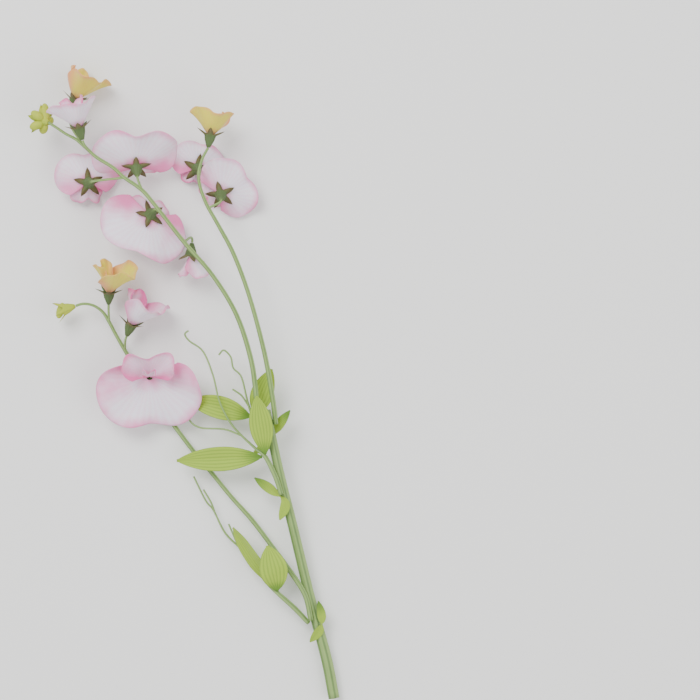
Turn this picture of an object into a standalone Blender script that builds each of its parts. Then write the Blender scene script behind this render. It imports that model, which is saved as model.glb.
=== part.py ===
"""A cut sweet pea stem that lies on a surface: a ridged stem, three flowering stalks, three leaves with
tendrils, six open flowers, six half-open ones and two buds at the tips.

Places are in millimetres from the cut end, with +Y along the stem, +X to the right and +Z up from the
surface. A last step moves the whole so that the origin is the bottom centre of its box.
"""

import math
from collections import namedtuple

import bmesh
import bpy
from mathutils import Vector

MM = 0.001
CLEARANCE = 0.3  # between pieces that touch
SHEET = 0.5  # thickness of a petal or a leaf
SIDES_ROUND, SIDES_THIN = 2, 0  # bevel resolution of stalks and of tendrils
STEPS = 2  # points read from each span of a route

# A flower, measured along its axis from the bottom of its calyx.
CUP = ((0, 1.0), (1.5, 1.6), (4.0, 2.6), (6.6, 3.2))  # height and radius of the calyx's outside
CUP_MOUTH = 7.0
CUP_WALL = 0.6
CUP_FLOOR = (4.5, 1.8)
SEPALS = 5
SEPAL_LENGTH = 5.6

# A layer of petals: which way its middle turns from the standard's, how far it spreads to each side and
# how it leans from the axis at its middle and at its sides, all in degrees; its length, the height and
# radius of its foot, and how deep its notch is as a share of its length.
Layer = namedtuple("Layer", "turn spread lean side_lean length foot rim notch")

OPEN = {
    "standard": Layer(0, 120, 82, 76, 23, 7.6, 1.8, 0.14),
    "wings": Layer(180, 88, 60, 52, 16, 8.4, 1.2, 0.3),
    "keel": Layer(180, 55, 34, 30, 9, 9.1, 0.7, 0.35),
}
HALF_OPEN = {
    "standard": Layer(0, 112, 47, 38, 18, 7.5, 1.9, 0.08),
    "wings": Layer(180, 100, 24, 21, 16, 8.0, 1.1, 0.15),
}
SEPAL_LEAN = {"open": 95, "half": 62}

# A flower's kind, where its pedicel leaves the stalk, where the calyx starts, the way that it faces,
# the side that its standard is on, and its size.
Flower = namedtuple("Flower", "kind leaves foot faces standard size")

MAIN_STEM = [
    (0, 0, 2.7, 2.6), (-3.9, 20.4, 3.2, 2.6), (-9.4, 41.3, 4.1, 2.5), (-13.8, 57.8, 5.2, 2.4),
    (-22.6, 94.6, 8.4, 2.3), (-30.3, 126, 12.0, 2.2), (-36.9, 158, 16.5, 2.0),
]

# Each stalk's route, with its radius at each point, and its flowers from the foot to the tip.
STALKS = {
    "lower": [
        (-12.6, 43, 7.8, 1.3), (-15.9, 57, 8.9, 1.3), (-24.2, 70.1, 8.0, 1.3), (-34.1, 83.6, 6.5, 1.2),
        (-45.1, 98, 5.2, 1.2), (-56.3, 110.4, 4.2, 1.1), (-67.7, 124.3, 3.4, 1.1),
        (-78.1, 136.7, 2.8, 1.1), (-92.1, 155.7, 2.4, 1.1), (-107.5, 179, 2.6, 1.0),
        (-114.7, 190.9, 3.4, 1.0), (-119.4, 199.1, 4.2, 0.9), (-123.2, 206.3, 5.2, 0.9),
        (-126.5, 211.6, 6.4, 0.8), (-131.5, 215.2, 8.0, 0.7), (-137.0, 216.2, 8.6, 0.7),
        (-141.6, 215, 8.6, 0.7),
    ],
    "upper": [
        (-39.4, 150.6, 16.2, 1.3), (-42, 163, 17.6, 1.3), (-45, 185, 19.5, 1.3), (-53, 210, 21.5, 1.2),
        (-66, 231.5, 23, 1.1), (-81.7, 249.8, 24.2, 1.1), (-96.1, 268.2, 25.0, 1.0),
        (-104.3, 277.8, 25.2, 1.0), (-113.9, 284.6, 25.2, 0.9), (-120.1, 290.1, 25.2, 0.9),
        (-128.9, 295.6, 25.2, 0.9), (-134.4, 300.4, 25.4, 0.8), (-139.9, 305.2, 25.4, 0.8),
        (-145.4, 308.2, 25.0, 0.7), (-150.8, 311.8, 24.0, 0.7), (-155.5, 314.8, 22.5, 0.7),
    ],
    "inner": [
        (-31.7, 150.5, 16.4, 1.3), (-33.5, 165, 17.2, 1.3), (-38, 190, 18.5, 1.2), (-46, 220, 20, 1.1),
        (-54.5, 243, 21, 1.1), (-63, 259, 21.5, 1.0), (-70, 271.7, 21.5, 0.9), (-73.7, 284.4, 21.5, 0.8),
        (-72.0, 294, 21.3, 0.7), (-68.4, 301.2, 21, 0.7),
    ],
}

FLOWERS = {
    "lower_flower": Flower(
        "open", (-99.8, 167.5, 2.5), (-101, 178.5, 5.0), (0.03, -0.3, 0.95), (0, -0.95, -0.3), 1.22
    ),
    "lower_half_open_1": Flower(
        "half", (-123.2, 206.3, 5.2), (-123.2, 216, 10.5), (0.05, 0.93, 0.35), (0.9, 0, 0.3), 1.0
    ),
    "lower_half_open_2": Flower(
        "half", (-114.7, 190.9, 3.4), (-113.4, 198.6, 8.5), (0.36, 0.9, 0.2), (0.85, -0.1, 0.5), 1.1
    ),
    "upper_flower_1": Flower(
        "open", (-113.9, 284.6, 25.2), (-132.4, 282.6, 16.8), (-0.25, -0.05, -0.96), (-0.1, 1, 0), 0.73
    ),
    "upper_flower_2": Flower(
        "open", (-104.3, 277.8, 25.2), (-107, 285.4, 22.2), (-0.1, 0.7, -0.7), (0, 0.7, 0.7), 1.0
    ),
    "upper_flower_3": Flower(
        "open", (-92.0, 262.8, 24.8), (-97.8, 267.2, 21.5), (-0.35, -0.35, -0.87), (-0.4, -0.9, 0), 1.05
    ),
    "upper_half_open_1": Flower(
        "half", (-137.4, 303.2, 25.4), (-143.5, 321.5, 10), (0.3, 0.95, 0), (0.8, 0, 0.6), 1.0
    ),
    "upper_half_open_2": Flower(
        "half", (-132, 298.3, 25.3), (-136.4, 304.8, 29.5), (-0.25, 0.95, 0.05), (0, 0, 1), 1.0
    ),
    "upper_half_open_3": Flower(
        "half", (-81.7, 249.8, 24.2), (-77.6, 249.4, 9.6), (-0.1, -0.97, -0.1), (1, 0, 0), 0.7
    ),
    "inner_flower_1": Flower(
        "open", (-73.6, 283.5, 21.5), (-73.4, 289.4, 13.9), (-0.2, 0.1, -0.97), (0.2, 1, 0), 0.6
    ),
    "inner_flower_2": Flower(
        "open", (-68.2, 268.2, 21.5), (-61.6, 272.6, 17.6), (-0.05, 0.45, -0.88), (0.85, 0.5, 0.1), 0.78
    ),
    "inner_half_open": Flower(
        "half", None, (-68.4, 301.2, 21), (0.15, 0.97, -0.15), (0, 0, 1), 0.85
    ),
}
TIP_BUDS = {
    "lower": (-141.6, 215, 8.6),
    "upper": (-155.5, 314.8, 22.5),
}
TIP_BUD_FACES = {
    "lower": (-0.95, -0.3, 0.1),
    "upper": (-0.6, 0.2, -0.75),
}

# Each leaf stalk's route runs on into its tendril; the others branch from it.
LEAF_STALKS = {
    "lower": [
        [
            (-14.0, 41.4, 4.0, 1.3), (-22, 50, 7.2, 1.4), (-30.8, 58, 9.4, 1.2), (-38, 64.9, 6.8, 0.8),
            (-48.4, 79.2, 3.4, 0.6), (-59.4, 90.2, 2.8, 0.6), (-66, 102.9, 2.6, 0.5),
            (-70.4, 108.4, 2.6, 0.5), (-77, 121.6, 2.2, 0.5),
        ],
        [(-52.3, 83.4, 3.2, 0.5), (-54.5, 88, 3.2, 0.5), (-57.8, 95.6, 3.4, 0.5)],
        [(-65, 100.8, 2.7, 0.5), (-67.5, 107.5, 3.6, 0.5), (-71.6, 114.5, 4.2, 0.5)],
    ],
    "middle": [
        [
            (-28.7, 112, 14.1, 1.3), (-32.0, 122, 15.2, 1.4), (-37.4, 132.6, 15.4, 1.2),
            (-42.4, 136.8, 14.6, 0.8), (-51, 144.8, 14.2, 0.6), (-57, 152, 15.4, 0.6),
            (-62.5, 163, 15.8, 0.5), (-66, 177, 13.5, 0.5), (-71.5, 190, 10.5, 0.5),
            (-79, 195.8, 10.5, 0.5), (-81.5, 199.5, 10.8, 0.5), (-79.5, 201.5, 11, 0.5),
        ],
        [
            (-50, 144, 14.3, 0.5), (-60, 147.6, 11, 0.5), (-73.8, 148.6, 8, 0.5),
            (-80.0, 154.5, 6.6, 0.5), (-81.3, 168, 5.2, 0.5),
        ],
    ],
    "upper": [
        [
            (-38.2, 145.0, 14.4, 1.2), (-41.5, 149, 13.2, 1.2), (-43.8, 153.2, 12.8, 1.0),
            (-47, 162, 12.6, 0.6), (-50.5, 176, 12, 0.5), (-55, 181, 11.6, 0.5),
            (-56.4, 187, 11.4, 0.5), (-60.2, 190.8, 11.4, 0.5), (-63, 188.2, 11.4, 0.5),
        ],
        [(-46.2, 159.6, 12.7, 0.5), (-50.5, 166, 12, 0.5), (-55.5, 169.5, 11.4, 0.5)],
    ],
}

# Each blade's route from foot to tip, half its greatest width, and the way that its upper face looks.
LEAFLETS = {
    "lower_a": ([(-31.0, 59.4, 10.9), (-33.0, 71, 15.6), (-36.3, 84.2, 14.6)], 7.6, (0.1, -0.2, 1)),
    "lower_b": ([(-32.6, 61.2, 10.6), (-44.6, 78.0, 11.6), (-55.2, 93.9, 10.8)], 5.2, (-0.6, -0.35, 0.7)),
    "middle_a": ([(-39.2, 132.6, 13.4), (-62, 131.6, 13.2), (-86, 130.4, 8.6)], 6.8, (0, -0.15, 1)),
    "middle_b": ([(-37.4, 134.2, 17.1), (-39.6, 150, 21.6), (-42, 166, 24.5)], 6.4, (-0.1, -0.3, 1)),
    "upper_a": ([(-45.4, 154.4, 11.2), (-62, 159.6, 11.4), (-80, 163.4, 7.4)], 6.4, (0, -0.15, 1)),
    "upper_b": ([(-43.2, 155.2, 11.0), (-39.4, 167, 11.0), (-34, 180.5, 11.6)], 6.2, (0, -0.1, 1)),
}

# Each pair's route runs from one tip across the stem to the other; the middle of it lies on the stem.
STIPULES = {
    "lower": ([(-8.6, 53.6, 7.6), (-6.8, 44, 7.6), (-7.8, 38, 7.5), (-13.2, 31, 6.2)], 2.6, (0.5, 0, 1)),
    "middle": (
        [(-43.5, 121, 9.4), (-33.4, 114, 11.0), (-26.6, 107.5, 13.0), (-29.6, 98, 12.2)],
        2.8,
        (-0.2, -0.2, 1),
    ),
    "upper": ([(-24, 158, 14.6), (-31.6, 148, 12.2), (-34.0, 141.6, 11.0), (-44.5, 134, 9.0)], 2.8,
              (0.1, -0.1, -1)),
}

COLOURS = {
    "stem": (0.27, 0.40, 0.12, 1),
    "leaf": (0.28, 0.45, 0.05, 1),
    "calyx": (0.09, 0.12, 0.05, 1),
    "petal": (0.72, 0.50, 0.62, 1),
    "blush": (0.75, 0.25, 0.45, 1),
    "yellow": (0.62, 0.58, 0.08, 1),
}
YELLOW_FLOWERS = ("lower_half_open_1", "upper_half_open_1", "inner_half_open")


def clear_scene():
    for thing in list(bpy.data.objects):
        bpy.data.objects.remove(thing)


def collection(name):
    made = bpy.data.collections.new(name)
    bpy.context.scene.collection.children.link(made)
    return made


def material(name):
    """One material for each finish, made when it is first asked for."""
    if name in bpy.data.materials:
        return bpy.data.materials[name]
    made = bpy.data.materials.new(name)
    made.use_nodes = True
    shader = made.node_tree.nodes["Principled BSDF"]
    shader.inputs["Base Color"].default_value = COLOURS[name]
    shader.inputs["Roughness"].default_value = 0.6
    shader.inputs["Metallic"].default_value = 0.0
    return made


def smooth(points, steps=STEPS):
    """A Catmull-Rom curve through the points, which may carry a radius as their last number."""
    points = [Vector(point) for point in points]
    points = [2 * points[0] - points[1], *points, 2 * points[-1] - points[-2]]
    found = []
    for before, start, end, after in zip(points, points[1:], points[2:], points[3:]):
        for step in range(steps):
            t = step / steps
            found.append(
                0.5 * (
                    2 * start
                    + (end - before) * t
                    + (2 * before - 5 * start + 4 * end - after) * t**2
                    + (3 * start - before - 3 * end + after) * t**3
                )
            )
    return found + [points[-2]]


def tube(name, points, sides):
    """A closed round mesh along points that carry their radius."""
    curve = bpy.data.curves.new(name, "CURVE")
    curve.dimensions = "3D"
    curve.bevel_depth = MM
    curve.bevel_resolution = sides
    curve.use_fill_caps = True
    spline = curve.splines.new("POLY")
    spline.points.add(len(points) - 1)
    for point, place in zip(spline.points, points):
        point.co = (*(MM * place.xyz), 1)
        point.radius = place.w
    guide = bpy.data.objects.new(name, curve)
    bpy.context.scene.collection.objects.link(guide)
    graph = bpy.context.evaluated_depsgraph_get()
    mesh = bpy.data.meshes.new_from_object(guide.evaluated_get(graph))
    bpy.data.objects.remove(guide)
    welded = bmesh.new()
    welded.from_mesh(mesh)
    bmesh.ops.remove_doubles(welded, verts=welded.verts, dist=1e-6)
    bmesh.ops.recalc_face_normals(welded, faces=welded.faces)
    welded.to_mesh(mesh)
    welded.free()
    return bpy.data.objects.new(name, mesh)


def keep(piece, finish):
    """Gives a finished piece its material and puts it in the stem's collection."""
    piece.data.materials.clear()
    piece.data.materials.append(material(finish))
    piece.data.shade_smooth()
    STEM.objects.link(piece)
    return piece


def join(piece, branches):
    """Makes the branches one body with the piece."""
    group = bpy.data.collections.new(piece.name + "_branches")
    BRANCHES.children.link(group)
    for branch in branches:
        branch.hide_render = True
        branch.display_type = "WIRE"
        group.objects.link(branch)
    union = piece.modifiers.new("Branches", "BOOLEAN")
    union.operation = "UNION"
    union.operand_type = "COLLECTION"
    union.collection = group
    union.solver = "EXACT"
    return piece


def pedicel(name, flower):
    """The short stalk from a flowering stalk to a calyx, which it meets along the calyx's axis."""
    start, end, axis = Vector(flower.leaves), Vector(flower.foot), Vector(flower.faces).normalized()
    end -= axis * CLEARANCE
    reach = (end - start).length
    points = []
    for step in range(7):
        t = step / 6
        bent = start + (end - start) * 0.3
        near = end - axis * reach * 0.4
        place = (
            start * (1 - t) ** 3 + bent * 3 * t * (1 - t) ** 2 + near * 3 * t**2 * (1 - t) + end * t**3
        )
        points.append(place.to_4d())
        points[-1].w = 0.65
    return tube(name, points, 1)


class Axes:
    """A flower's own directions: along its axis, to its standard and across."""

    def __init__(self, foot, faces, standard):
        self.foot = Vector(foot)
        self.along = Vector(faces).normalized()
        up = Vector(standard)
        self.up = (up - self.along * up.dot(self.along)).normalized()
        self.across = self.along.cross(self.up)

    def place(self, height, radius, angle):
        way = self.up * math.cos(angle) + self.across * math.sin(angle)
        return MM * (self.foot + self.along * height + way * radius)


def layer_place(axes, layer, size, side, out):
    """The point of a petal layer at side, -1 to 1 across it, and out, 0 at its foot to 1 at its edge."""
    angle = math.radians(layer.turn + layer.spread * side)
    lean = math.radians(layer.lean + (layer.side_lean - layer.lean) * abs(side))
    notch = 1 - layer.notch * math.exp(-((side / 0.18) ** 2))
    outline = (1 - 0.42 * abs(side) ** 4) * notch * (1 + 0.1 * math.sin(math.pi * abs(side)))
    reach = out * layer.length * size * outline
    return axes.place(layer.foot + reach * math.cos(lean), layer.rim + reach * math.sin(lean), angle)


def sheet(name, shape, across, along, thickness=SHEET):
    """An open grid placed by shape(side, out), made a thin closed shell."""
    grid = bmesh.new()
    bmesh.ops.create_grid(grid, x_segments=across, y_segments=along, size=1)
    for vertex in grid.verts:
        vertex.co = shape(vertex.co.x, (vertex.co.y + 1) / 2)
    mesh = bpy.data.meshes.new(name)
    grid.to_mesh(mesh)
    grid.free()
    piece = bpy.data.objects.new(name, mesh)
    wall = piece.modifiers.new("Thickness", "SOLIDIFY")
    wall.thickness = thickness * MM
    wall.offset = 0
    return piece


def petal_layer(name, axes, layer, size, across, along):
    return sheet(name, lambda side, out: layer_place(axes, layer, size, side, out), across, along)


def calyx(name, axes, sepal_lean, sepal_length=SEPAL_LENGTH):
    """A small cup whose rim runs out into five pointed sepals, lofted ring by ring."""
    lean = math.radians(sepal_lean)
    mouth_radius = CUP[-1][1]
    tip = (CUP_MOUTH + sepal_length * math.cos(lean), mouth_radius + sepal_length * math.sin(lean))
    half = 0.15
    rings = [[place, place] for place in CUP]
    rings.append([(tip[0] - half, tip[1] - half), (CUP_MOUTH - 0.1, mouth_radius + 0.1)])
    rings.append([(tip[0] + half, tip[1] - half), (CUP_MOUTH + 0.1, mouth_radius)])
    rings.append([(CUP_MOUTH - 0.1, mouth_radius - CUP_WALL)] * 2)
    rings.append([CUP_FLOOR] * 2)
    cup = bmesh.new()
    made = []
    for ring in rings:
        row = []
        for i in range(2 * SEPALS):
            height, radius = ring[i % 2]
            row.append(cup.verts.new(axes.place(height, radius, math.pi * (i + 1) / SEPALS)))
        made.append(row)
    for lower, upper in zip(made, made[1:]):
        for i in range(2 * SEPALS):
            following = (i + 1) % (2 * SEPALS)
            cup.faces.new((lower[i], lower[following], upper[following], upper[i]))
    cup.faces.new(made[0][::-1])
    cup.faces.new(made[-1])
    bmesh.ops.recalc_face_normals(cup, faces=cup.faces)
    mesh = bpy.data.meshes.new(name)
    cup.to_mesh(mesh)
    cup.free()
    return bpy.data.objects.new(name, mesh)


def bud(name, axes, height, radius, angle, length, width):
    """A closed bud, longest along a line out from the calyx's axis."""
    ball = bmesh.new()
    bmesh.ops.create_uvsphere(ball, u_segments=8, v_segments=5, radius=1)
    middle = axes.place(height, radius, angle)
    out = (middle - axes.place(height - 0.7 * radius, 0, angle)).normalized()
    turn = out.to_track_quat("Z", "Y")
    for vertex in ball.verts:
        shaped = Vector((vertex.co.x * width, vertex.co.y * width, vertex.co.z * length)) * MM / 2
        vertex.co = middle + turn @ shaped
    mesh = bpy.data.meshes.new(name)
    ball.to_mesh(mesh)
    ball.free()
    return bpy.data.objects.new(name, mesh)


def half_width(share, lobes):
    """How wide a blade is along its length, from 0 to 1, with one lobe or two."""
    return max(0.12, abs(math.sin(math.pi * lobes * share)) ** 0.75)


def blade(name, route, width, face, lobes, across, along):
    """A leaf blade along its route, a little folded along its midrib."""
    line = smooth(route, along * 2)
    face = Vector(face).normalized()

    def shape(side, out):
        at = out * (len(line) - 1)
        low = min(int(at), len(line) - 2)
        middle = line[low].lerp(line[low + 1], at - low)
        forward = (line[low + 1] - line[low]).normalized()
        sideways = forward.cross(face).normalized()
        upward = sideways.cross(forward)
        reach = side * width * half_width(out, lobes)
        return MM * (middle + sideways * reach + upward * 0.18 * abs(reach))

    return sheet(name, shape, across, along)


def make_stems():
    keep(tube("main_stem", smooth(MAIN_STEM), SIDES_ROUND), "stem")
    for name, route in STALKS.items():
        route = smooth(route)
        end_axis = Vector(TIP_BUD_FACES.get(name, FLOWERS["inner_half_open"].faces)).normalized()
        route[-1] = route[-1] - (end_axis * CLEARANCE).to_4d() + Vector((0, 0, 0, 1))
        stalk = tube("flower_stalk_" + name, route, SIDES_ROUND)
        pedicels = [
            pedicel(flower_name + "_pedicel", flower)
            for flower_name, flower in FLOWERS.items()
            if flower_name.startswith(name) and flower.leaves
        ]
        keep(join(stalk, pedicels), "stem")


def make_leaves():
    for name, routes in LEAF_STALKS.items():
        stalk = tube("leaf_stalk_" + name, smooth(routes[0]), 1)
        tendrils = [
            tube(f"tendril_{name}_{i}", smooth(route), SIDES_THIN) for i, route in enumerate(routes[1:])
        ]
        keep(join(stalk, tendrils), "stem")
    for name, (route, width, face) in LEAFLETS.items():
        keep(blade("leaflet_" + name, route, width, face, 1, 4, 7), "leaf")
    for name, (route, width, face) in STIPULES.items():
        keep(blade("stipules_" + name, route, width, face, 2, 2, 8), "leaf")


def make_flowers():
    for name, flower in FLOWERS.items():
        axes = Axes(flower.foot, flower.faces, flower.standard)
        keep(calyx(name + "_calyx", axes, SEPAL_LEAN[flower.kind]), "calyx")
        layers = OPEN if flower.kind == "open" else HALF_OPEN
        for part, layer in layers.items():
            finish = "yellow" if name in YELLOW_FLOWERS else "petal" if part == "standard" else "blush"
            across = 10 if part == "standard" else 7
            keep(petal_layer(f"{name}_{part}", axes, layer, flower.size, across, 3), finish)


def make_tip_buds():
    axes = Axes(TIP_BUDS["upper"], TIP_BUD_FACES["upper"], (0, 0, 1))
    star = calyx("upper_bud", axes, 80)
    buds = [
        bud(f"upper_bud_{i}", axes, 5.6, 4.4, math.radians(72 * i + 20), 12 if i == 1 else 8, 5)
        for i in range(5)
    ]
    keep(join(star, buds), "calyx")
    axes = Axes(TIP_BUDS["lower"], TIP_BUD_FACES["lower"], (0, -1, 0))
    trumpet = calyx("lower_bud", axes, 35)
    keep(join(trumpet, [bud("lower_bud_1", axes, 8.4, 0.01, 0, 9, 4.4)]), "calyx")


def centre_on_surface():
    """Moves the whole so that the origin is the bottom centre of its box."""
    bpy.context.view_layer.update()
    graph = bpy.context.evaluated_depsgraph_get()
    corners = []
    for piece in STEM.objects:
        mesh = piece.evaluated_get(graph).to_mesh()
        corners += [vertex.co.copy() for vertex in mesh.vertices]
    low = Vector([min(corner[i] for corner in corners) for i in range(3)])
    high = Vector([max(corner[i] for corner in corners) for i in range(3)])
    bottom_centre = Vector(((low.x + high.x) / 2, (low.y + high.y) / 2, low.z))
    for group in (STEM, BRANCHES):
        for piece in group.all_objects:
            piece.location -= bottom_centre


clear_scene()
STEM = collection("sweet_pea_flower_stem")
BRANCHES = collection("joined_branches")
make_stems()
make_leaves()
make_flowers()
make_tip_buds()
centre_on_surface()
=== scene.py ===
import math
from collections import namedtuple

import bmesh
import bpy
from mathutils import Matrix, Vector


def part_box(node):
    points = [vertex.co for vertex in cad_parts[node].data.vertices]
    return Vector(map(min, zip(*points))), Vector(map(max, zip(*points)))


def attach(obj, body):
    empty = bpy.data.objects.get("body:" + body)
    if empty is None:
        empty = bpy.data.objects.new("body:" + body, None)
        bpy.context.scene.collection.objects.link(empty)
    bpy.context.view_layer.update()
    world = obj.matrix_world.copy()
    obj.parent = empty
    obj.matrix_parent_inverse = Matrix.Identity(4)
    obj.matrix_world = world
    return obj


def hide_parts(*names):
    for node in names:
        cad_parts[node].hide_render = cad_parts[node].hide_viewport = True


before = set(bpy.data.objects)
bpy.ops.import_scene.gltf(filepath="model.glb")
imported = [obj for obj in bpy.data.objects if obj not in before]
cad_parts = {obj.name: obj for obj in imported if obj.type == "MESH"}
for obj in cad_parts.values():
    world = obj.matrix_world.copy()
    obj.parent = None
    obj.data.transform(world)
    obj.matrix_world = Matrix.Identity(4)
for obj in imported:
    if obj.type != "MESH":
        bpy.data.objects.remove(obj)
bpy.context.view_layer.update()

bl_info = {
    "name": "Sweet Pea Flower Stem",
    "version": (1, 0, 0),
    "blender": (4, 5, 0),
    "location": "View3D > Sidebar > Sweet Pea",
    "description": "Builds a cut sweet pea stem with its leaves, tendrils, flowers and buds",
    "category": "Add Mesh",
}

MM = 0.001

# Places and lengths are in millimetres from the cut end of the stem, which points along +Y; +Z is up.
CLEARANCE = 0.3  # between pieces that touch
STEPS = 6  # points read from each span of a route
COARSE_STEPS = 2  # the same on the guide that places the whole in the frame
GUIDE_SIDES = 24
PEDICEL_RADIUS = 0.65
PEDICEL_STEPS = 16
BLADE_FOLD = 0.18  # rise of a blade from its midrib, as a share of the way out
BLADE_WAVE = 0.035  # the same for the waving of its edge

# How many faces go across or around a piece and along it.
STEM_SIDES, STALK_SIDES, TENDRIL_SIDES, PEDICEL_SIDES = 48, 20, 14, 12
PETAL_FACES, BLADE_FACES, BUD_FACES = (64, 26), (22, 48), (24, 14)
CALYX_SIDES = 60

# The stage, in metres: each lamp has its name, place, size and power.
LAMPS = (("key", (-0.7, 0.9, 1.6), 1.0, 36), ("fill", (1.2, -0.5, 1.4), 1.6, 16))
SKY_STRENGTH = 0.95
PAPER_COLOUR = (0.86, 0.86, 0.85, 1)
FLOOR_SIZE = 6
CAMERA_PLACE = (0.091, 0.0178, 2.5)
CAMERA_LENS, CAMERA_SENSOR = 234, 36

# A flower, measured along its axis from the bottom of its calyx.
CUP = ((0, 1.0), (1.5, 1.6), (4.0, 2.6), (6.6, 3.2))  # height and radius of the calyx's outside
CUP_MOUTH = 7.0
CUP_WALL = 0.6
CUP_FLOOR = (4.5, 1.8)
SEPALS = 5
SEPAL_LENGTH = 5.6

# A layer of petals: which way its middle turns from the standard's, how far it spreads to each side and
# how it leans from the axis at its middle and at its sides, all in degrees; its length, the height and
# radius of its foot, and how deep its notch is as a share of its length.
Layer = namedtuple("Layer", "turn spread lean side_lean length foot rim notch")

OPEN = {
    "standard": Layer(0, 120, 82, 76, 23, 7.6, 1.8, 0.14),
    "wings": Layer(180, 88, 60, 52, 16, 8.4, 1.2, 0.3),
    "keel": Layer(180, 55, 34, 30, 9, 9.1, 0.7, 0.35),
}
HALF_OPEN = {
    "standard": Layer(0, 112, 47, 38, 18, 7.5, 1.9, 0.08),
    "wings": Layer(180, 100, 24, 21, 16, 8.0, 1.1, 0.15),
}
SEPAL_LEAN = {"open": 95, "half": 62}

# A flower's kind, where its pedicel leaves the stalk, where the calyx starts, the way that it faces,
# the side that its standard is on, and its size.
Flower = namedtuple("Flower", "kind leaves foot faces standard size")

MAIN_STEM = [
    (0, 0, 2.7, 2.6), (-3.9, 20.4, 3.2, 2.6), (-9.4, 41.3, 4.1, 2.5), (-13.8, 57.8, 5.2, 2.4),
    (-22.6, 94.6, 8.4, 2.3), (-30.3, 126, 12.0, 2.2), (-36.9, 158, 16.5, 2.0),
]

# Each stalk's route, with its radius at each point.
STALKS = {
    "lower": [
        (-12.6, 43, 7.8, 1.3), (-15.9, 57, 8.9, 1.3), (-24.2, 70.1, 8.0, 1.3), (-34.1, 83.6, 6.5, 1.2),
        (-45.1, 98, 5.2, 1.2), (-56.3, 110.4, 4.2, 1.1), (-67.7, 124.3, 3.4, 1.1),
        (-78.1, 136.7, 2.8, 1.1), (-92.1, 155.7, 2.4, 1.1), (-107.5, 179, 2.6, 1.0),
        (-114.7, 190.9, 3.4, 1.0), (-119.4, 199.1, 4.2, 0.9), (-123.2, 206.3, 5.2, 0.9),
        (-126.5, 211.6, 6.4, 0.8), (-131.5, 215.2, 8.0, 0.7), (-137.0, 216.2, 8.6, 0.7),
        (-141.6, 215, 8.6, 0.7),
    ],
    "upper": [
        (-39.4, 150.6, 16.2, 1.3), (-42, 163, 17.6, 1.3), (-45, 185, 19.5, 1.3), (-53, 210, 21.5, 1.2),
        (-66, 231.5, 23, 1.1), (-81.7, 249.8, 24.2, 1.1), (-96.1, 268.2, 25.0, 1.0),
        (-104.3, 277.8, 25.2, 1.0), (-113.9, 284.6, 25.2, 0.9), (-120.1, 290.1, 25.2, 0.9),
        (-128.9, 295.6, 25.2, 0.9), (-134.4, 300.4, 25.4, 0.8), (-139.9, 305.2, 25.4, 0.8),
        (-145.4, 308.2, 25.0, 0.7), (-150.8, 311.8, 24.0, 0.7), (-155.5, 314.8, 22.5, 0.7),
    ],
    "inner": [
        (-31.7, 150.5, 16.4, 1.3), (-33.5, 165, 17.2, 1.3), (-38, 190, 18.5, 1.2), (-46, 220, 20, 1.1),
        (-54.5, 243, 21, 1.1), (-63, 259, 21.5, 1.0), (-70, 271.7, 21.5, 0.9), (-73.7, 284.4, 21.5, 0.8),
        (-72.0, 294, 21.3, 0.7), (-68.4, 301.2, 21, 0.7),
    ],
}

FLOWERS = {
    "lower_flower": Flower(
        "open", (-99.8, 167.5, 2.5), (-101, 178.5, 5.0), (0.03, -0.3, 0.95), (0, -0.95, -0.3), 1.22
    ),
    "lower_half_open_1": Flower(
        "half", (-123.2, 206.3, 5.2), (-123.2, 216, 10.5), (0.05, 0.93, 0.35), (0.9, 0, 0.3), 1.0
    ),
    "lower_half_open_2": Flower(
        "half", (-114.7, 190.9, 3.4), (-113.4, 198.6, 8.5), (0.36, 0.9, 0.2), (0.85, -0.1, 0.5), 1.1
    ),
    "upper_flower_1": Flower(
        "open", (-113.9, 284.6, 25.2), (-132.4, 282.6, 16.8), (-0.25, -0.05, -0.96), (-0.1, 1, 0), 0.73
    ),
    "upper_flower_2": Flower(
        "open", (-104.3, 277.8, 25.2), (-107, 285.4, 22.2), (-0.1, 0.7, -0.7), (0, 0.7, 0.7), 1.0
    ),
    "upper_flower_3": Flower(
        "open", (-92.0, 262.8, 24.8), (-97.8, 267.2, 21.5), (-0.35, -0.35, -0.87), (-0.4, -0.9, 0), 1.05
    ),
    "upper_half_open_1": Flower(
        "half", (-137.4, 303.2, 25.4), (-143.5, 321.5, 10), (0.3, 0.95, 0), (0.8, 0, 0.6), 1.0
    ),
    "upper_half_open_2": Flower(
        "half", (-132, 298.3, 25.3), (-136.4, 304.8, 29.5), (-0.25, 0.95, 0.05), (0, 0, 1), 1.0
    ),
    "upper_half_open_3": Flower(
        "half", (-81.7, 249.8, 24.2), (-77.6, 249.4, 9.6), (-0.1, -0.97, -0.1), (1, 0, 0), 0.7
    ),
    "inner_flower_1": Flower(
        "open", (-73.6, 283.5, 21.5), (-73.4, 289.4, 13.9), (-0.2, 0.1, -0.97), (0.2, 1, 0), 0.6
    ),
    "inner_flower_2": Flower(
        "open", (-68.2, 268.2, 21.5), (-61.6, 272.6, 17.6), (-0.05, 0.45, -0.88), (0.85, 0.5, 0.1), 0.78
    ),
    "inner_half_open": Flower(
        "half", None, (-68.4, 301.2, 21), (0.15, 0.97, -0.15), (0, 0, 1), 0.85
    ),
}
TIP_BUDS = {
    "lower": (-141.6, 215, 8.6),
    "upper": (-155.5, 314.8, 22.5),
}
TIP_BUD_FACES = {
    "lower": (-0.95, -0.3, 0.1),
    "upper": (-0.6, 0.2, -0.75),
}

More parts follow.
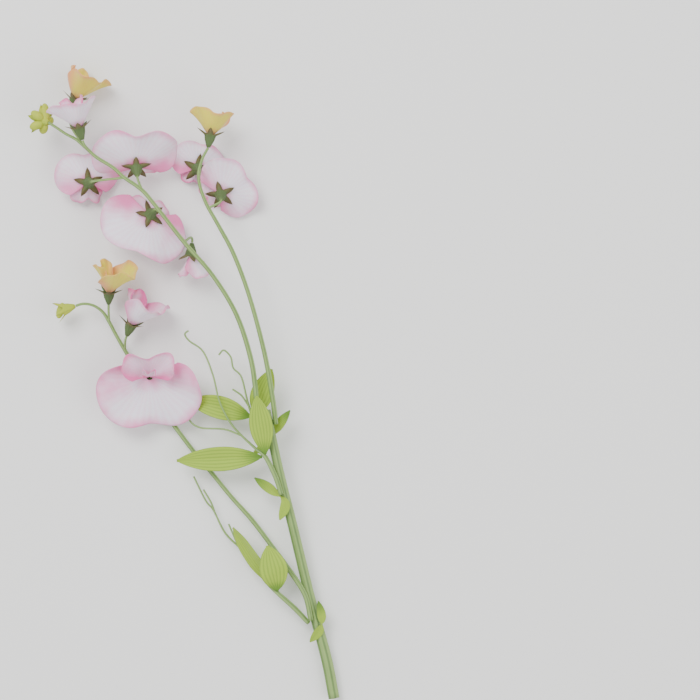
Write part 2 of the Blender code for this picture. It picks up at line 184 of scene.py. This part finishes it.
# Each leaf stalk's route runs on into its tendril; the others branch from it.
LEAF_STALKS = {
    "lower": [
        [
            (-14.0, 41.4, 4.0, 1.3), (-22, 50, 7.2, 1.4), (-30.8, 58, 9.4, 1.2), (-38, 64.9, 6.8, 0.8),
            (-48.4, 79.2, 3.4, 0.6), (-59.4, 90.2, 2.8, 0.6), (-66, 102.9, 2.6, 0.5),
            (-70.4, 108.4, 2.6, 0.5), (-77, 121.6, 2.2, 0.5),
        ],
        [(-52.3, 83.4, 3.2, 0.5), (-54.5, 88, 3.2, 0.5), (-57.8, 95.6, 3.4, 0.5)],
        [(-65, 100.8, 2.7, 0.5), (-67.5, 107.5, 3.6, 0.5), (-71.6, 114.5, 4.2, 0.5)],
    ],
    "middle": [
        [
            (-28.7, 112, 14.1, 1.3), (-32.0, 122, 15.2, 1.4), (-37.4, 132.6, 15.4, 1.2),
            (-42.4, 136.8, 14.6, 0.8), (-51, 144.8, 14.2, 0.6), (-57, 152, 15.4, 0.6),
            (-62.5, 163, 15.8, 0.5), (-66, 177, 13.5, 0.5), (-71.5, 190, 10.5, 0.5),
            (-79, 195.8, 10.5, 0.5), (-81.5, 199.5, 10.8, 0.5), (-79.5, 201.5, 11, 0.5),
        ],
        [
            (-50, 144, 14.3, 0.5), (-60, 147.6, 11, 0.5), (-73.8, 148.6, 8, 0.5),
            (-80.0, 154.5, 6.6, 0.5), (-81.3, 168, 5.2, 0.5),
        ],
    ],
    "upper": [
        [
            (-38.2, 145.0, 14.4, 1.2), (-41.5, 149, 13.2, 1.2), (-43.8, 153.2, 12.8, 1.0),
            (-47, 162, 12.6, 0.6), (-50.5, 176, 12, 0.5), (-55, 181, 11.6, 0.5),
            (-56.4, 187, 11.4, 0.5), (-60.2, 190.8, 11.4, 0.5), (-63, 188.2, 11.4, 0.5),
        ],
        [(-46.2, 159.6, 12.7, 0.5), (-50.5, 166, 12, 0.5), (-55.5, 169.5, 11.4, 0.5)],
    ],
}

# Each blade's route from foot to tip, half its greatest width, and the way that its upper face looks.
LEAFLETS = {
    "lower_a": ([(-31.0, 59.4, 10.9), (-33.0, 71, 15.6), (-36.3, 84.2, 14.6)], 7.6, (0.1, -0.2, 1)),
    "lower_b": ([(-32.6, 61.2, 10.6), (-44.6, 78.0, 11.6), (-55.2, 93.9, 10.8)], 5.2, (-0.6, -0.35, 0.7)),
    "middle_a": ([(-39.2, 132.6, 13.4), (-62, 131.6, 13.2), (-86, 130.4, 8.6)], 6.8, (0, -0.15, 1)),
    "middle_b": ([(-37.4, 134.2, 17.1), (-39.6, 150, 21.6), (-42, 166, 24.5)], 6.4, (-0.1, -0.3, 1)),
    "upper_a": ([(-45.4, 154.4, 11.2), (-62, 159.6, 11.4), (-80, 163.4, 7.4)], 6.4, (0, -0.15, 1)),
    "upper_b": ([(-43.2, 155.2, 11.0), (-39.4, 167, 11.0), (-34, 180.5, 11.6)], 6.2, (0, -0.1, 1)),
}

# Each pair's route runs from one tip across the stem to the other; the middle of it lies on the stem.
STIPULES = {
    "lower": ([(-8.6, 53.6, 7.6), (-6.8, 44, 7.6), (-7.8, 38, 7.5), (-13.2, 31, 6.2)], 2.6, (0.5, 0, 1)),
    "middle": (
        [(-43.5, 121, 9.4), (-33.4, 114, 11.0), (-26.6, 107.5, 13.0), (-29.6, 98, 12.2)],
        2.8,
        (-0.2, -0.2, 1),
    ),
    "upper": ([(-24, 158, 14.6), (-31.6, 148, 12.2), (-34.0, 141.6, 11.0), (-44.5, 134, 9.0)], 2.8,
              (0.1, -0.1, -1)),
}

YELLOW_FLOWERS = ("lower_half_open_1", "upper_half_open_1", "inner_half_open")


# ---- Sizes and colours that a user would change ----


class SweetPeaSizes(bpy.types.PropertyGroup):
    petal_thickness: bpy.props.FloatProperty(
        name="Petal Thickness", description="Thickness of the petal fabric", default=0.0003, unit="LENGTH"
    )
    leaf_thickness: bpy.props.FloatProperty(
        name="Leaf Thickness", description="Thickness of a leaf blade", default=0.00045, unit="LENGTH"
    )
    ruffle: bpy.props.FloatProperty(
        name="Ruffle", description="How far a petal's edge waves", default=math.radians(9), unit="ROTATION"
    )
    ridge: bpy.props.FloatProperty(
        name="Stem Ridge", description="Height of the stem's ridges against its radius", default=0.16
    )


def colour(label, default):
    return bpy.props.FloatVectorProperty(
        name=label, description="Colour of the " + label.lower(), subtype="COLOR", size=4, min=0, max=1,
        default=(*default, 1),
    )


class SweetPeaColours(bpy.types.PropertyGroup):
    petal_pale: colour("Pale Petal", (0.86, 0.80, 0.90))
    petal_blush: colour("Petal Blush", (0.78, 0.16, 0.40))
    petal_yellow: colour("Yellow Petal", (0.68, 0.62, 0.06))
    petal_salmon: colour("Salmon Edge", (0.78, 0.30, 0.16))
    calyx_green: colour("Calyx", (0.085, 0.12, 0.045))
    calyx_tip: colour("Sepal Tip", (0.16, 0.07, 0.04))
    stem_green: colour("Stem", (0.30, 0.44, 0.14))
    # Dark green for the real mottle of the stem and calyx, also used as the painted shade in the stem's
    # grooves.
    stem_mottle_and_groove_shade: colour("Stem Mottle and Groove Shade", (0.08, 0.16, 0.04))
    leaf_green: colour("Leaf", (0.32, 0.47, 0.04))
    # The colour of the printed leaf veins, also used as the painted shade towards each blade's foot.
    leaf_vein_and_shade: colour("Leaf Vein and Shade", (0.10, 0.22, 0.02))
    bud_green: colour("Bud", (0.24, 0.38, 0.03))


def sizes():
    return bpy.context.scene.sweet_pea_sizes


def colours():
    return bpy.context.scene.sweet_pea_colours


# ---- Materials ----


class Finish:
    """A Principled material under construction, with short ways to add and wire its nodes."""

    def __init__(self, name, roughness, sheen=0.0):
        self.material = bpy.data.materials.new(name)
        self.material.use_nodes = True
        self.tree = self.material.node_tree
        self.shader = self.tree.nodes["Principled BSDF"]
        self.shader.inputs["Roughness"].default_value = roughness
        self.shader.inputs["Sheen Weight"].default_value = sheen
        self.shader.inputs["Specular IOR Level"].default_value = 0.3
        coordinates = self.node("ShaderNodeTexCoord")
        self.object, self.uv = coordinates.outputs["Object"], coordinates.outputs["UV"]
        split = self.node("ShaderNodeSeparateXYZ")
        self.wire(self.uv, split.inputs[0])
        self.side, self.out = split.outputs["X"], split.outputs["Y"]

    def node(self, kind, **settings):
        """A new node of a kind, with its settings."""
        made = self.tree.nodes.new(kind)
        for setting, value in settings.items():
            setattr(made, setting, value)
        return made

    def wire(self, source, target):
        self.tree.links.new(source, target)

    def maths(self, operation, *values):
        """An operation on values that are numbers or other nodes' outputs."""
        made = self.node("ShaderNodeMath", operation=operation)
        for socket, value in zip(made.inputs, values):
            if isinstance(value, (int, float)):
                socket.default_value = value
            else:
                self.wire(value, socket)
        return made.outputs[0]

    def between(self, value, low, high):
        """0 where the value is low or less, 1 where it is high or more, and smooth between."""
        made = self.node("ShaderNodeMapRange", interpolation_type="SMOOTHSTEP")
        self.wire(value, made.inputs["Value"])
        made.inputs["From Min"].default_value = low
        made.inputs["From Max"].default_value = high
        return made.outputs[0]

    def noise(self, scale, detail=3.0):
        made = self.node("ShaderNodeTexNoise")
        self.wire(self.object, made.inputs["Vector"])
        made.inputs["Scale"].default_value = scale
        made.inputs["Detail"].default_value = detail
        return made.outputs["Fac"]

    def stripes(self, count, waver=1.0):
        """Lines that run the length of a petal or a leaf, wavering a little."""
        wander = self.maths("MULTIPLY", self.noise(160), waver)
        phase = self.maths("ADD", self.maths("MULTIPLY", self.side, count * 2 * math.pi), wander)
        return self.maths("MULTIPLY_ADD", self.maths("SINE", phase), 0.5, 0.5)

    def mix(self, factor, first, second):
        """The first colour where the factor is 0, and the second where it is 1."""
        made = self.node("ShaderNodeMix", data_type="RGBA")
        self.wire(factor, made.inputs[0])
        for socket, value in ((made.inputs[6], first), (made.inputs[7], second)):
            if isinstance(value, bpy.types.NodeSocket):
                self.wire(value, socket)
            else:
                socket.default_value = value
        return made.outputs[2]

    def bump(self, height, strength, distance):
        made = self.node("ShaderNodeBump")
        made.inputs["Strength"].default_value = strength
        made.inputs["Distance"].default_value = distance
        self.wire(height, made.inputs["Height"])
        self.wire(made.outputs[0], self.shader.inputs["Normal"])

    def done(self, paint):
        self.wire(paint, self.shader.inputs["Base Color"])
        return self.material


def petal_finish(name, pale, edge, flush):
    """Thin dyed cloth: pale, with dye that has crept in from the rim, the sides and the foot, and veins."""
    finish = Finish(name, 0.85, 0.25)
    finish.shader.inputs["Subsurface Weight"].default_value = 0.12
    finish.shader.inputs["Subsurface Scale"].default_value = 0.002
    sway = finish.maths("MULTIPLY", finish.noise(55), 0.5)
    from_middle = finish.maths("ABSOLUTE", finish.maths("SUBTRACT", finish.side, 0.5))
    rim = finish.between(finish.maths("ADD", finish.out, sway), 1.02, 1.38)
    flank = finish.between(finish.maths("ADD", from_middle, sway), 0.42, 0.78)
    foot = finish.between(finish.maths("SUBTRACT", finish.out, sway), 0.12, -0.3)
    dye = finish.maths("MAXIMUM", rim, finish.maths("MAXIMUM", flank, foot))
    dyed = finish.maths("MINIMUM", finish.maths("ADD", finish.maths("MULTIPLY", dye, 0.9), flush), 1)
    paint = finish.mix(dyed, pale, edge)
    veins = finish.stripes(26, 3.0)
    faded = finish.maths("MULTIPLY", veins, 0.10)
    paint = finish.mix(faded, paint, edge)
    weave = finish.noise(2600, 1.0)
    finish.bump(finish.maths("ADD", finish.maths("MULTIPLY", veins, 0.6), weave), 0.35, 0.0002)
    return finish.done(paint)


def leaf_finish():
    """Printed cloth with parallel veins, and painted shade darkening it towards the foot."""
    finish = Finish("leaf_cloth", 0.7, 0.1)
    tones = colours()
    veins = finish.between(finish.stripes(7, 2.0), 0.35, 1.0)
    # Painted shade: the blade grows darker towards its foot, in the vein colour.
    foot = finish.between(finish.maths("ADD", finish.out, finish.maths("MULTIPLY", finish.noise(60), 0.2)),
                          0.42, 0.06)
    shade = finish.maths("MINIMUM", finish.maths("ADD", finish.maths("MULTIPLY", veins, 0.38), foot), 1)
    paint = finish.mix(shade, tones.leaf_green, tones.leaf_vein_and_shade)
    finish.bump(finish.maths("ADD", veins, finish.noise(1800, 1.0)), 0.4, 0.00025)
    return finish.done(paint)


def stem_finish():
    """Moulded plastic with darker random patches, and painted shade in its grooves."""
    finish = Finish("stem_plastic", 0.5)
    tones = colours()
    # Painted shade: stripes round the stem that are darker where its grooves lie.
    groove_shade = finish.maths("MULTIPLY_ADD", finish.maths("SINE", finish.maths(
        "MULTIPLY", finish.side, 8 * math.pi)), 0.5, 0.5)
    shade = finish.maths("MULTIPLY", finish.between(groove_shade, 0.45, 1.0), 0.55)
    patches = finish.maths("MULTIPLY", finish.noise(120), 0.4)
    paint = finish.mix(finish.maths("ADD", shade, patches), tones.stem_green, tones.stem_mottle_and_groove_shade)
    finish.bump(finish.noise(900, 2.0), 0.2, 0.0002)
    return finish.done(paint)


def calyx_finish():
    """Dark mottled plastic with a paler foot and reddish brown sepal tips."""
    finish = Finish("calyx_plastic", 0.65)
    tones = colours()
    foot = finish.between(finish.out, 0.16, 0.0)
    paint = finish.mix(finish.maths("MULTIPLY", foot, 0.6), tones.calyx_green, tones.stem_green)
    tip = finish.between(finish.maths("ABSOLUTE", finish.maths("SUBTRACT", finish.out, 0.5)), 0.14, 0.02)
    paint = finish.mix(finish.maths("MULTIPLY", tip, 0.8), paint, tones.calyx_tip)
    mottle = finish.maths("MULTIPLY", finish.noise(500), 0.5)
    paint = finish.mix(mottle, paint, tones.stem_mottle_and_groove_shade)
    finish.bump(finish.noise(1400, 2.0), 0.35, 0.0003)
    return finish.done(paint)


def bud_finish():
    """Green plastic with yellow patches."""
    finish = Finish("bud_green", 0.6)
    tones = colours()
    patches = finish.maths("MULTIPLY", finish.noise(200), 0.7)
    paint = finish.mix(patches, tones.bud_green, tones.petal_yellow)
    finish.bump(finish.noise(1500, 2.0), 0.3, 0.0002)
    return finish.done(paint)


def pink_finish():
    tones = colours()
    return petal_finish("petal_pink", tones.petal_pale, tones.petal_blush, 0.04)


def blush_finish():
    tones = colours()
    return petal_finish("petal_blush", tones.petal_pale, tones.petal_blush, 0.3)


def yellow_finish():
    tones = colours()
    return petal_finish("petal_yellow", tones.petal_yellow, tones.petal_salmon, 0.0)


FINISH_MAKERS = {
    "petal_pink": pink_finish,
    "petal_blush": blush_finish,
    "petal_yellow": yellow_finish,
    "leaf": leaf_finish,
    "stem": stem_finish,
    "calyx": calyx_finish,
    "bud": bud_finish,
}
FINISHES = {}


def finish_named(name):
    """Each finish is made when it is first asked for."""
    if name not in FINISHES:
        FINISHES[name] = FINISH_MAKERS[name]()
    return FINISHES[name]


# ---- Routes, and the place of the whole in the frame ----


def smooth(points, steps=STEPS):
    """A Catmull-Rom curve through the points, which may carry a radius as their last number."""
    points = [Vector(point) for point in points]
    points = [2 * points[0] - points[1], *points, 2 * points[-1] - points[-2]]
    found = []
    for before, start, end, after in zip(points, points[1:], points[2:], points[3:]):
        for step in range(steps):
            t = step / steps
            found.append(
                0.5 * (
                    2 * start
                    + (end - before) * t
                    + (2 * before - 5 * start + 4 * end - after) * t**2
                    + (3 * start - before - 3 * end + after) * t**3
                )
            )
    return found + [points[-2]]


def rings_along(line):
    """For each point of a line, the two directions of its cross section, carried along without twist."""
    ahead = (line[1].xyz - line[0].xyz).normalized()
    across = ahead.cross(Vector((0, 0, 1)) if abs(ahead.z) < 0.9 else Vector((0, 1, 0))).normalized()
    rings = []
    for i in range(len(line)):
        start, end = line[max(i - 1, 0)].xyz, line[min(i + 1, len(line) - 1)].xyz
        ahead = (end - start).normalized()
        across = (across - ahead * across.dot(ahead)).normalized()
        rings.append((across, ahead.cross(across)))
    return rings


def design_shift():
    """How far the design's places lie from the frame's, in millimetres, read off the main stem."""
    line = smooth(MAIN_STEM, COARSE_STEPS)
    rings = rings_along(line)
    spots = [
        centre.xyz + (ring[0] * math.cos(turn) + ring[1] * math.sin(turn)) * centre.w
        for centre, ring in zip(line, rings)
        for turn in (2 * math.pi * k / GUIDE_SIDES for k in range(GUIDE_SIDES))
    ]
    low, high = (Vector([pick(spot[i] for spot in spots) for i in range(3)]) for pick in (min, max))
    stem_low, stem_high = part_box("main_stem")
    return (Vector(stem_low) + Vector(stem_high)) / (2 * MM) - (low + high) / 2


PLACE = design_shift()


# ---- Shapes ----


def grid_object(name, across, along, shape):
    """A primitive grid whose vertices go where shape(x, y), both 0 to 1, says in millimetres."""
    bpy.ops.object.select_all(action="DESELECT")
    bpy.ops.mesh.primitive_grid_add(x_subdivisions=across, y_subdivisions=along, size=2)
    piece = bpy.context.object
    piece.name = name
    for vertex in piece.data.vertices:
        vertex.co = MM * (shape((vertex.co.x + 1) / 2, (vertex.co.y + 1) / 2) + PLACE)
    return piece


def sheet(name, across, along, shape, thickness):
    """A grid made a thin closed shell."""
    piece = grid_object(name, across, along, shape)
    wall = piece.modifiers.new("Thickness", "SOLIDIFY")
    wall.thickness = thickness
    wall.offset = 0
    bpy.ops.object.modifier_apply(modifier=wall.name)
    return piece


def wrapped(name, around, along, shape):
    """A grid wrapped round into a closed skin, with its two ends filled."""
    piece = grid_object(name, around, along, shape)
    skin = bmesh.new()
    skin.from_mesh(piece.data)
    bmesh.ops.remove_doubles(skin, verts=skin.verts, dist=1e-6)
    bmesh.ops.holes_fill(skin, edges=skin.edges, sides=0)
    bmesh.ops.recalc_face_normals(skin, faces=skin.faces)
    skin.to_mesh(piece.data)
    skin.free()
    return piece


def rod(name, line, around, ridge=0.0):
    """A stalk along a line whose points carry their radius, with four ridges along it if asked for."""
    rings = rings_along(line)

    def shape(x, y):
        i = round(y * (len(line) - 1))
        angle = 2 * math.pi * x
        radius = line[i].w * (1 + ridge * math.cos(4 * angle))
        return line[i].xyz + (rings[i][0] * math.cos(angle) + rings[i][1] * math.sin(angle)) * radius

    return wrapped(name, around, len(line) - 1, shape)


def joined(name, pieces):
    """The pieces as one object, each still a closed skin."""
    bpy.ops.object.select_all(action="DESELECT")
    for piece in pieces:
        piece.select_set(True)
    bpy.context.view_layer.objects.active = pieces[0]
    bpy.ops.object.join()
    pieces[0].name = name
    return pieces[0]


def settle(piece, node, finish):
    """Gives a finished piece its material, its place in the frame and the node that it stands for."""
    piece.name = node + "_skin"
    piece.data.materials.clear()
    piece.data.materials.append(finish_named(finish))
    piece.data.shade_smooth()
    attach(piece, "root")
    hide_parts(node)
    return piece

class Axes:
    """A flower's own directions: along its axis, to its standard and across."""

    def __init__(self, foot, faces, standard):
        self.foot = Vector(foot)
        self.along = Vector(faces).normalized()
        up = Vector(standard)
        self.up = (up - self.along * up.dot(self.along)).normalized()
        self.across = self.along.cross(self.up)

    def place(self, height, radius, angle):
        way = self.up * math.cos(angle) + self.across * math.sin(angle)
        return self.foot + self.along * height + way * radius


def petal_place(axes, layer, size, side, out, phase):
    """The point of a petal layer at side, -1 to 1 across it, and out, 0 at its foot to 1 at its edge."""
    waves = math.sin(7 * side + phase) + 0.6 * math.sin(15 * side + 2 * phase)
    angle = math.radians(layer.turn + layer.spread * side)
    lean = math.radians(layer.lean + (layer.side_lean - layer.lean) * abs(side))
    lean += sizes().ruffle * waves * out**2 * 0.6
    notch = 1 - layer.notch * math.exp(-((side / 0.18) ** 2))
    outline = (1 - 0.42 * abs(side) ** 4) * notch * (1 + 0.1 * math.sin(math.pi * abs(side)))
    reach = out * layer.length * size * outline
    return axes.place(layer.foot + reach * math.cos(lean), layer.rim + reach * math.sin(lean), angle)


def petal(name, axes, layer, size, phase):
    """A layer of petals, whose ruffles start at their own phase."""

    def shape(x, y):
        return petal_place(axes, layer, size, 2 * x - 1, y, phase)

    return sheet(name, *PETAL_FACES, shape, sizes().petal_thickness)


def calyx(name, axes, sepal_lean):
    """A ribbed cup whose rim runs out into five pointed sepals, turned as one closed skin."""
    lean = math.radians(sepal_lean)
    mouth = CUP[-1][1]
    tip = (CUP_MOUTH + SEPAL_LENGTH * math.cos(lean), mouth + SEPAL_LENGTH * math.sin(lean))
    outside = [*CUP, (CUP_MOUTH, mouth + 0.15)]
    inside = [(CUP_MOUTH, mouth - 0.1), (CUP_MOUTH - 0.2, mouth - CUP_WALL), CUP_FLOOR, (CUP_FLOOR[0], 0.01)]
    profile = [(0, 0.01), *outside, (CUP_MOUTH + 0.2, mouth), *inside]
    rim = len(outside) + 1

    def shape(x, y):
        i = round(y * (len(profile) - 1))
        height, radius = profile[i]
        angle = 2 * math.pi * x
        point = abs((x * SEPALS) % 1 - 0.5) * 2
        if i in (rim - 1, rim):
            share = max(0, 1 - point * 1.15) ** 1.3
            height += (tip[0] - height) * share
            radius += (tip[1] - radius) * share
        elif 0 < i < rim:
            radius *= 1 + 0.05 * math.cos(10 * angle)
        return axes.place(height, radius, angle + math.pi / SEPALS)

    return wrapped(name, CALYX_SIDES, len(profile) - 1, shape)


def bud(name, axes, height, radius, angle, length, width):
    """A closed bud, longest along a line out from the calyx's axis."""
    middle = axes.place(height, radius, angle)
    out = (middle - axes.place(height - 0.7 * radius, 0, angle)).normalized()
    turn = out.to_track_quat("Z", "Y")

    def shape(x, y):
        across, up = max(math.sin(math.pi * y), 0.002) * width / 2, -math.cos(math.pi * y) * length / 2
        ring = Vector((across * math.cos(2 * math.pi * x), across * math.sin(2 * math.pi * x), up))
        return middle + turn @ ring

    return wrapped(name, *BUD_FACES, shape)


def half_width(share, lobes):
    """How wide a blade is along its length, from 0 to 1, with one lobe or two."""
    return max(0.12, abs(math.sin(math.pi * lobes * share)) ** 0.75)


def blade(name, route, width, face, lobes):
    """A leaf blade along its route, folded along its midrib, with a gently waving edge."""
    line = smooth(route, 16)
    face = Vector(face).normalized()

    def shape(x, y):
        at = y * (len(line) - 1)
        low = min(int(at), len(line) - 2)
        middle = line[low].lerp(line[low + 1], at - low)
        forward = (line[low + 1] - line[low]).normalized()
        sideways = forward.cross(face).normalized()
        upward = sideways.cross(forward)
        reach = (2 * x - 1) * width * half_width(y, lobes)
        wave = BLADE_WAVE * reach * math.sin(14 * y)
        return middle + sideways * reach + upward * (BLADE_FOLD * abs(reach) + wave)

    return sheet(name, *BLADE_FACES, shape, sizes().leaf_thickness)


def pedicel(name, flower):
    """The short stalk from a flowering stalk to a calyx, which it meets along the calyx's axis."""
    start, end, axis = Vector(flower.leaves), Vector(flower.foot), Vector(flower.faces).normalized()
    end -= axis * CLEARANCE
    reach = (end - start).length
    bent, near = start + (end - start) * 0.3, end - axis * reach * 0.4
    points = []
    for step in range(PEDICEL_STEPS + 1):
        t = step / PEDICEL_STEPS
        place = (
            start * (1 - t) ** 3 + bent * 3 * t * (1 - t) ** 2 + near * 3 * t**2 * (1 - t) + end * t**3
        )
        points.append(place.to_4d())
        points[-1].w = PEDICEL_RADIUS
    return rod(name, points, PEDICEL_SIDES)


# ---- Operators, one for each kind of piece ----


class MakeMainStem(bpy.types.Operator):
    """Make the ridged main stem"""

    bl_idname = "sweet_pea.main_stem"
    bl_label = "Main Stem"

    def execute(self, context):
        settle(rod("stem", smooth(MAIN_STEM), STEM_SIDES, sizes().ridge), "main_stem", "stem")
        return {"FINISHED"}


class MakeFlowerStalks(bpy.types.Operator):
    """Make the three flowering stalks with their pedicels"""

    bl_idname = "sweet_pea.flower_stalks"
    bl_label = "Flower Stalks"

    def execute(self, context):
        for name, route in STALKS.items():
            line = smooth(route)
            end_axis = Vector(TIP_BUD_FACES.get(name, FLOWERS["inner_half_open"].faces)).normalized()
            line[-1] = line[-1] - (end_axis * CLEARANCE).to_4d() + Vector((0, 0, 0, 1))
            pieces = [rod("stalk", line, STALK_SIDES, sizes().ridge / 2)]
            pieces += [
                pedicel("pedicel", flower)
                for flower_name, flower in FLOWERS.items()
                if flower_name.startswith(name) and flower.leaves
            ]
            settle(joined(name, pieces), "flower_stalk_" + name, "stem")
        return {"FINISHED"}


class MakeLeafStalks(bpy.types.Operator):
    """Make the three leaf stalks with their tendrils"""

    bl_idname = "sweet_pea.leaf_stalks"
    bl_label = "Leaf Stalks and Tendrils"

    def execute(self, context):
        for name, routes in LEAF_STALKS.items():
            pieces = [rod("tendril", smooth(route), TENDRIL_SIDES) for route in routes]
            settle(joined(name, pieces), "leaf_stalk_" + name, "stem")
        return {"FINISHED"}


class MakeLeaves(bpy.types.Operator):
    """Make the leaflets and the stipules"""

    bl_idname = "sweet_pea.leaves"
    bl_label = "Leaflets and Stipules"

    def execute(self, context):
        for name, (route, width, face) in LEAFLETS.items():
            settle(blade(name, route, width, face, 1), "leaflet_" + name, "leaf")
        for name, (route, width, face) in STIPULES.items():
            settle(blade(name, route, width, face, 2), "stipules_" + name, "leaf")
        return {"FINISHED"}


class MakeFlowers(bpy.types.Operator):
    """Make the open and half-open flowers: a calyx and two or three layers of petals each"""

    bl_idname = "sweet_pea.flowers"
    bl_label = "Flowers"

    def execute(self, context):
        for i, (name, flower) in enumerate(FLOWERS.items()):
            axes = Axes(flower.foot, flower.faces, flower.standard)
            settle(calyx(name, axes, SEPAL_LEAN[flower.kind]), name + "_calyx", "calyx")
            layers = OPEN if flower.kind == "open" else HALF_OPEN
            for part, layer in layers.items():
                slot = "petal_pink" if part == "standard" else "petal_blush"
                if name in YELLOW_FLOWERS:
                    slot = "petal_yellow"
                piece = petal(name, axes, layer, flower.size, 1.7 * i + layer.turn)
                settle(piece, f"{name}_{part}", slot)
        return {"FINISHED"}


class MakeTipBuds(bpy.types.Operator):
    """Make the buds at the tips of the upper and lower flowering stalks"""

    bl_idname = "sweet_pea.tip_buds"
    bl_label = "Tip Buds"

    def execute(self, context):
        axes = Axes(TIP_BUDS["upper"], TIP_BUD_FACES["upper"], (0, 0, 1))
        pieces = [calyx("star", axes, 80)]
        for i in range(5):
            turn = math.radians(72 * i + 20)
            pieces.append(bud("bud", axes, 5.6, 4.4, turn, 12 if i == 1 else 8, 5))
        settle(joined("star", pieces), "upper_bud", "bud")
        axes = Axes(TIP_BUDS["lower"], TIP_BUD_FACES["lower"], (0, -1, 0))
        pieces = [calyx("trumpet", axes, 35), bud("bud", axes, 8.4, 0.01, 0, 9, 4.4)]
        settle(joined("trumpet", pieces), "lower_bud", "bud")
        return {"FINISHED"}


class SetStage(bpy.types.Operator):
    """Set the pale floor, the soft light and the camera that looks straight down"""

    bl_idname = "sweet_pea.stage"
    bl_label = "Stage"

    def execute(self, context):
        bpy.ops.mesh.primitive_plane_add(size=FLOOR_SIZE)
        floor = bpy.context.object
        floor.name = "floor"
        paper = bpy.data.materials.new("paper")
        paper.use_nodes = True
        shader = paper.node_tree.nodes["Principled BSDF"]
        shader.inputs["Base Color"].default_value = PAPER_COLOUR
        shader.inputs["Roughness"].default_value = 0.9
        floor.data.materials.append(paper)
        for name, place, size, power in LAMPS:
            light = bpy.data.lights.new(name, "AREA")
            light.size, light.energy = size, power
            lamp = bpy.data.objects.new(name, light)
            lamp.location = place
            lamp.rotation_euler = Vector(place).to_track_quat("Z", "Y").to_euler()
            context.scene.collection.objects.link(lamp)
        world = bpy.data.worlds.new("sky")
        world.use_nodes = True
        world.node_tree.nodes["Background"].inputs["Color"].default_value = (1, 1, 1, 1)
        world.node_tree.nodes["Background"].inputs["Strength"].default_value = SKY_STRENGTH
        context.scene.world = world
        camera = bpy.data.cameras.new("camera")
        camera.lens, camera.sensor_width = CAMERA_LENS, CAMERA_SENSOR
        eye = bpy.data.objects.new("camera", camera)
        eye.location = CAMERA_PLACE
        context.scene.collection.objects.link(eye)
        context.scene.camera = eye
        return {"FINISHED"}


OPERATORS = (
    MakeMainStem, MakeFlowerStalks, MakeLeafStalks, MakeLeaves, MakeFlowers, MakeTipBuds, SetStage,
)


class SweetPeaPanel(bpy.types.Panel):
    bl_idname = "VIEW3D_PT_sweet_pea"
    bl_label = "Sweet Pea Flower Stem"
    bl_space_type = "VIEW_3D"
    bl_region_type = "UI"
    bl_category = "Sweet Pea"

    def draw(self, context):
        for group in (context.scene.sweet_pea_sizes, context.scene.sweet_pea_colours):
            for label in group.__annotations__:
                self.layout.prop(group, label)
        for operator in OPERATORS:
            self.layout.operator(operator.bl_idname)


CLASSES = (SweetPeaSizes, SweetPeaColours, *OPERATORS, SweetPeaPanel)


def register():
    for made in CLASSES:
        bpy.utils.register_class(made)
    bpy.types.Scene.sweet_pea_sizes = bpy.props.PointerProperty(type=SweetPeaSizes)
    bpy.types.Scene.sweet_pea_colours = bpy.props.PointerProperty(type=SweetPeaColours)


def unregister():
    del bpy.types.Scene.sweet_pea_colours
    del bpy.types.Scene.sweet_pea_sizes
    for made in reversed(CLASSES):
        bpy.utils.unregister_class(made)


def main():
    register()
    for operator in ("main_stem", "flower_stalks", "leaf_stalks", "leaves", "flowers", "tip_buds", "stage"):
        getattr(bpy.ops.sweet_pea, operator)()


if __name__ == "__main__":
    main()
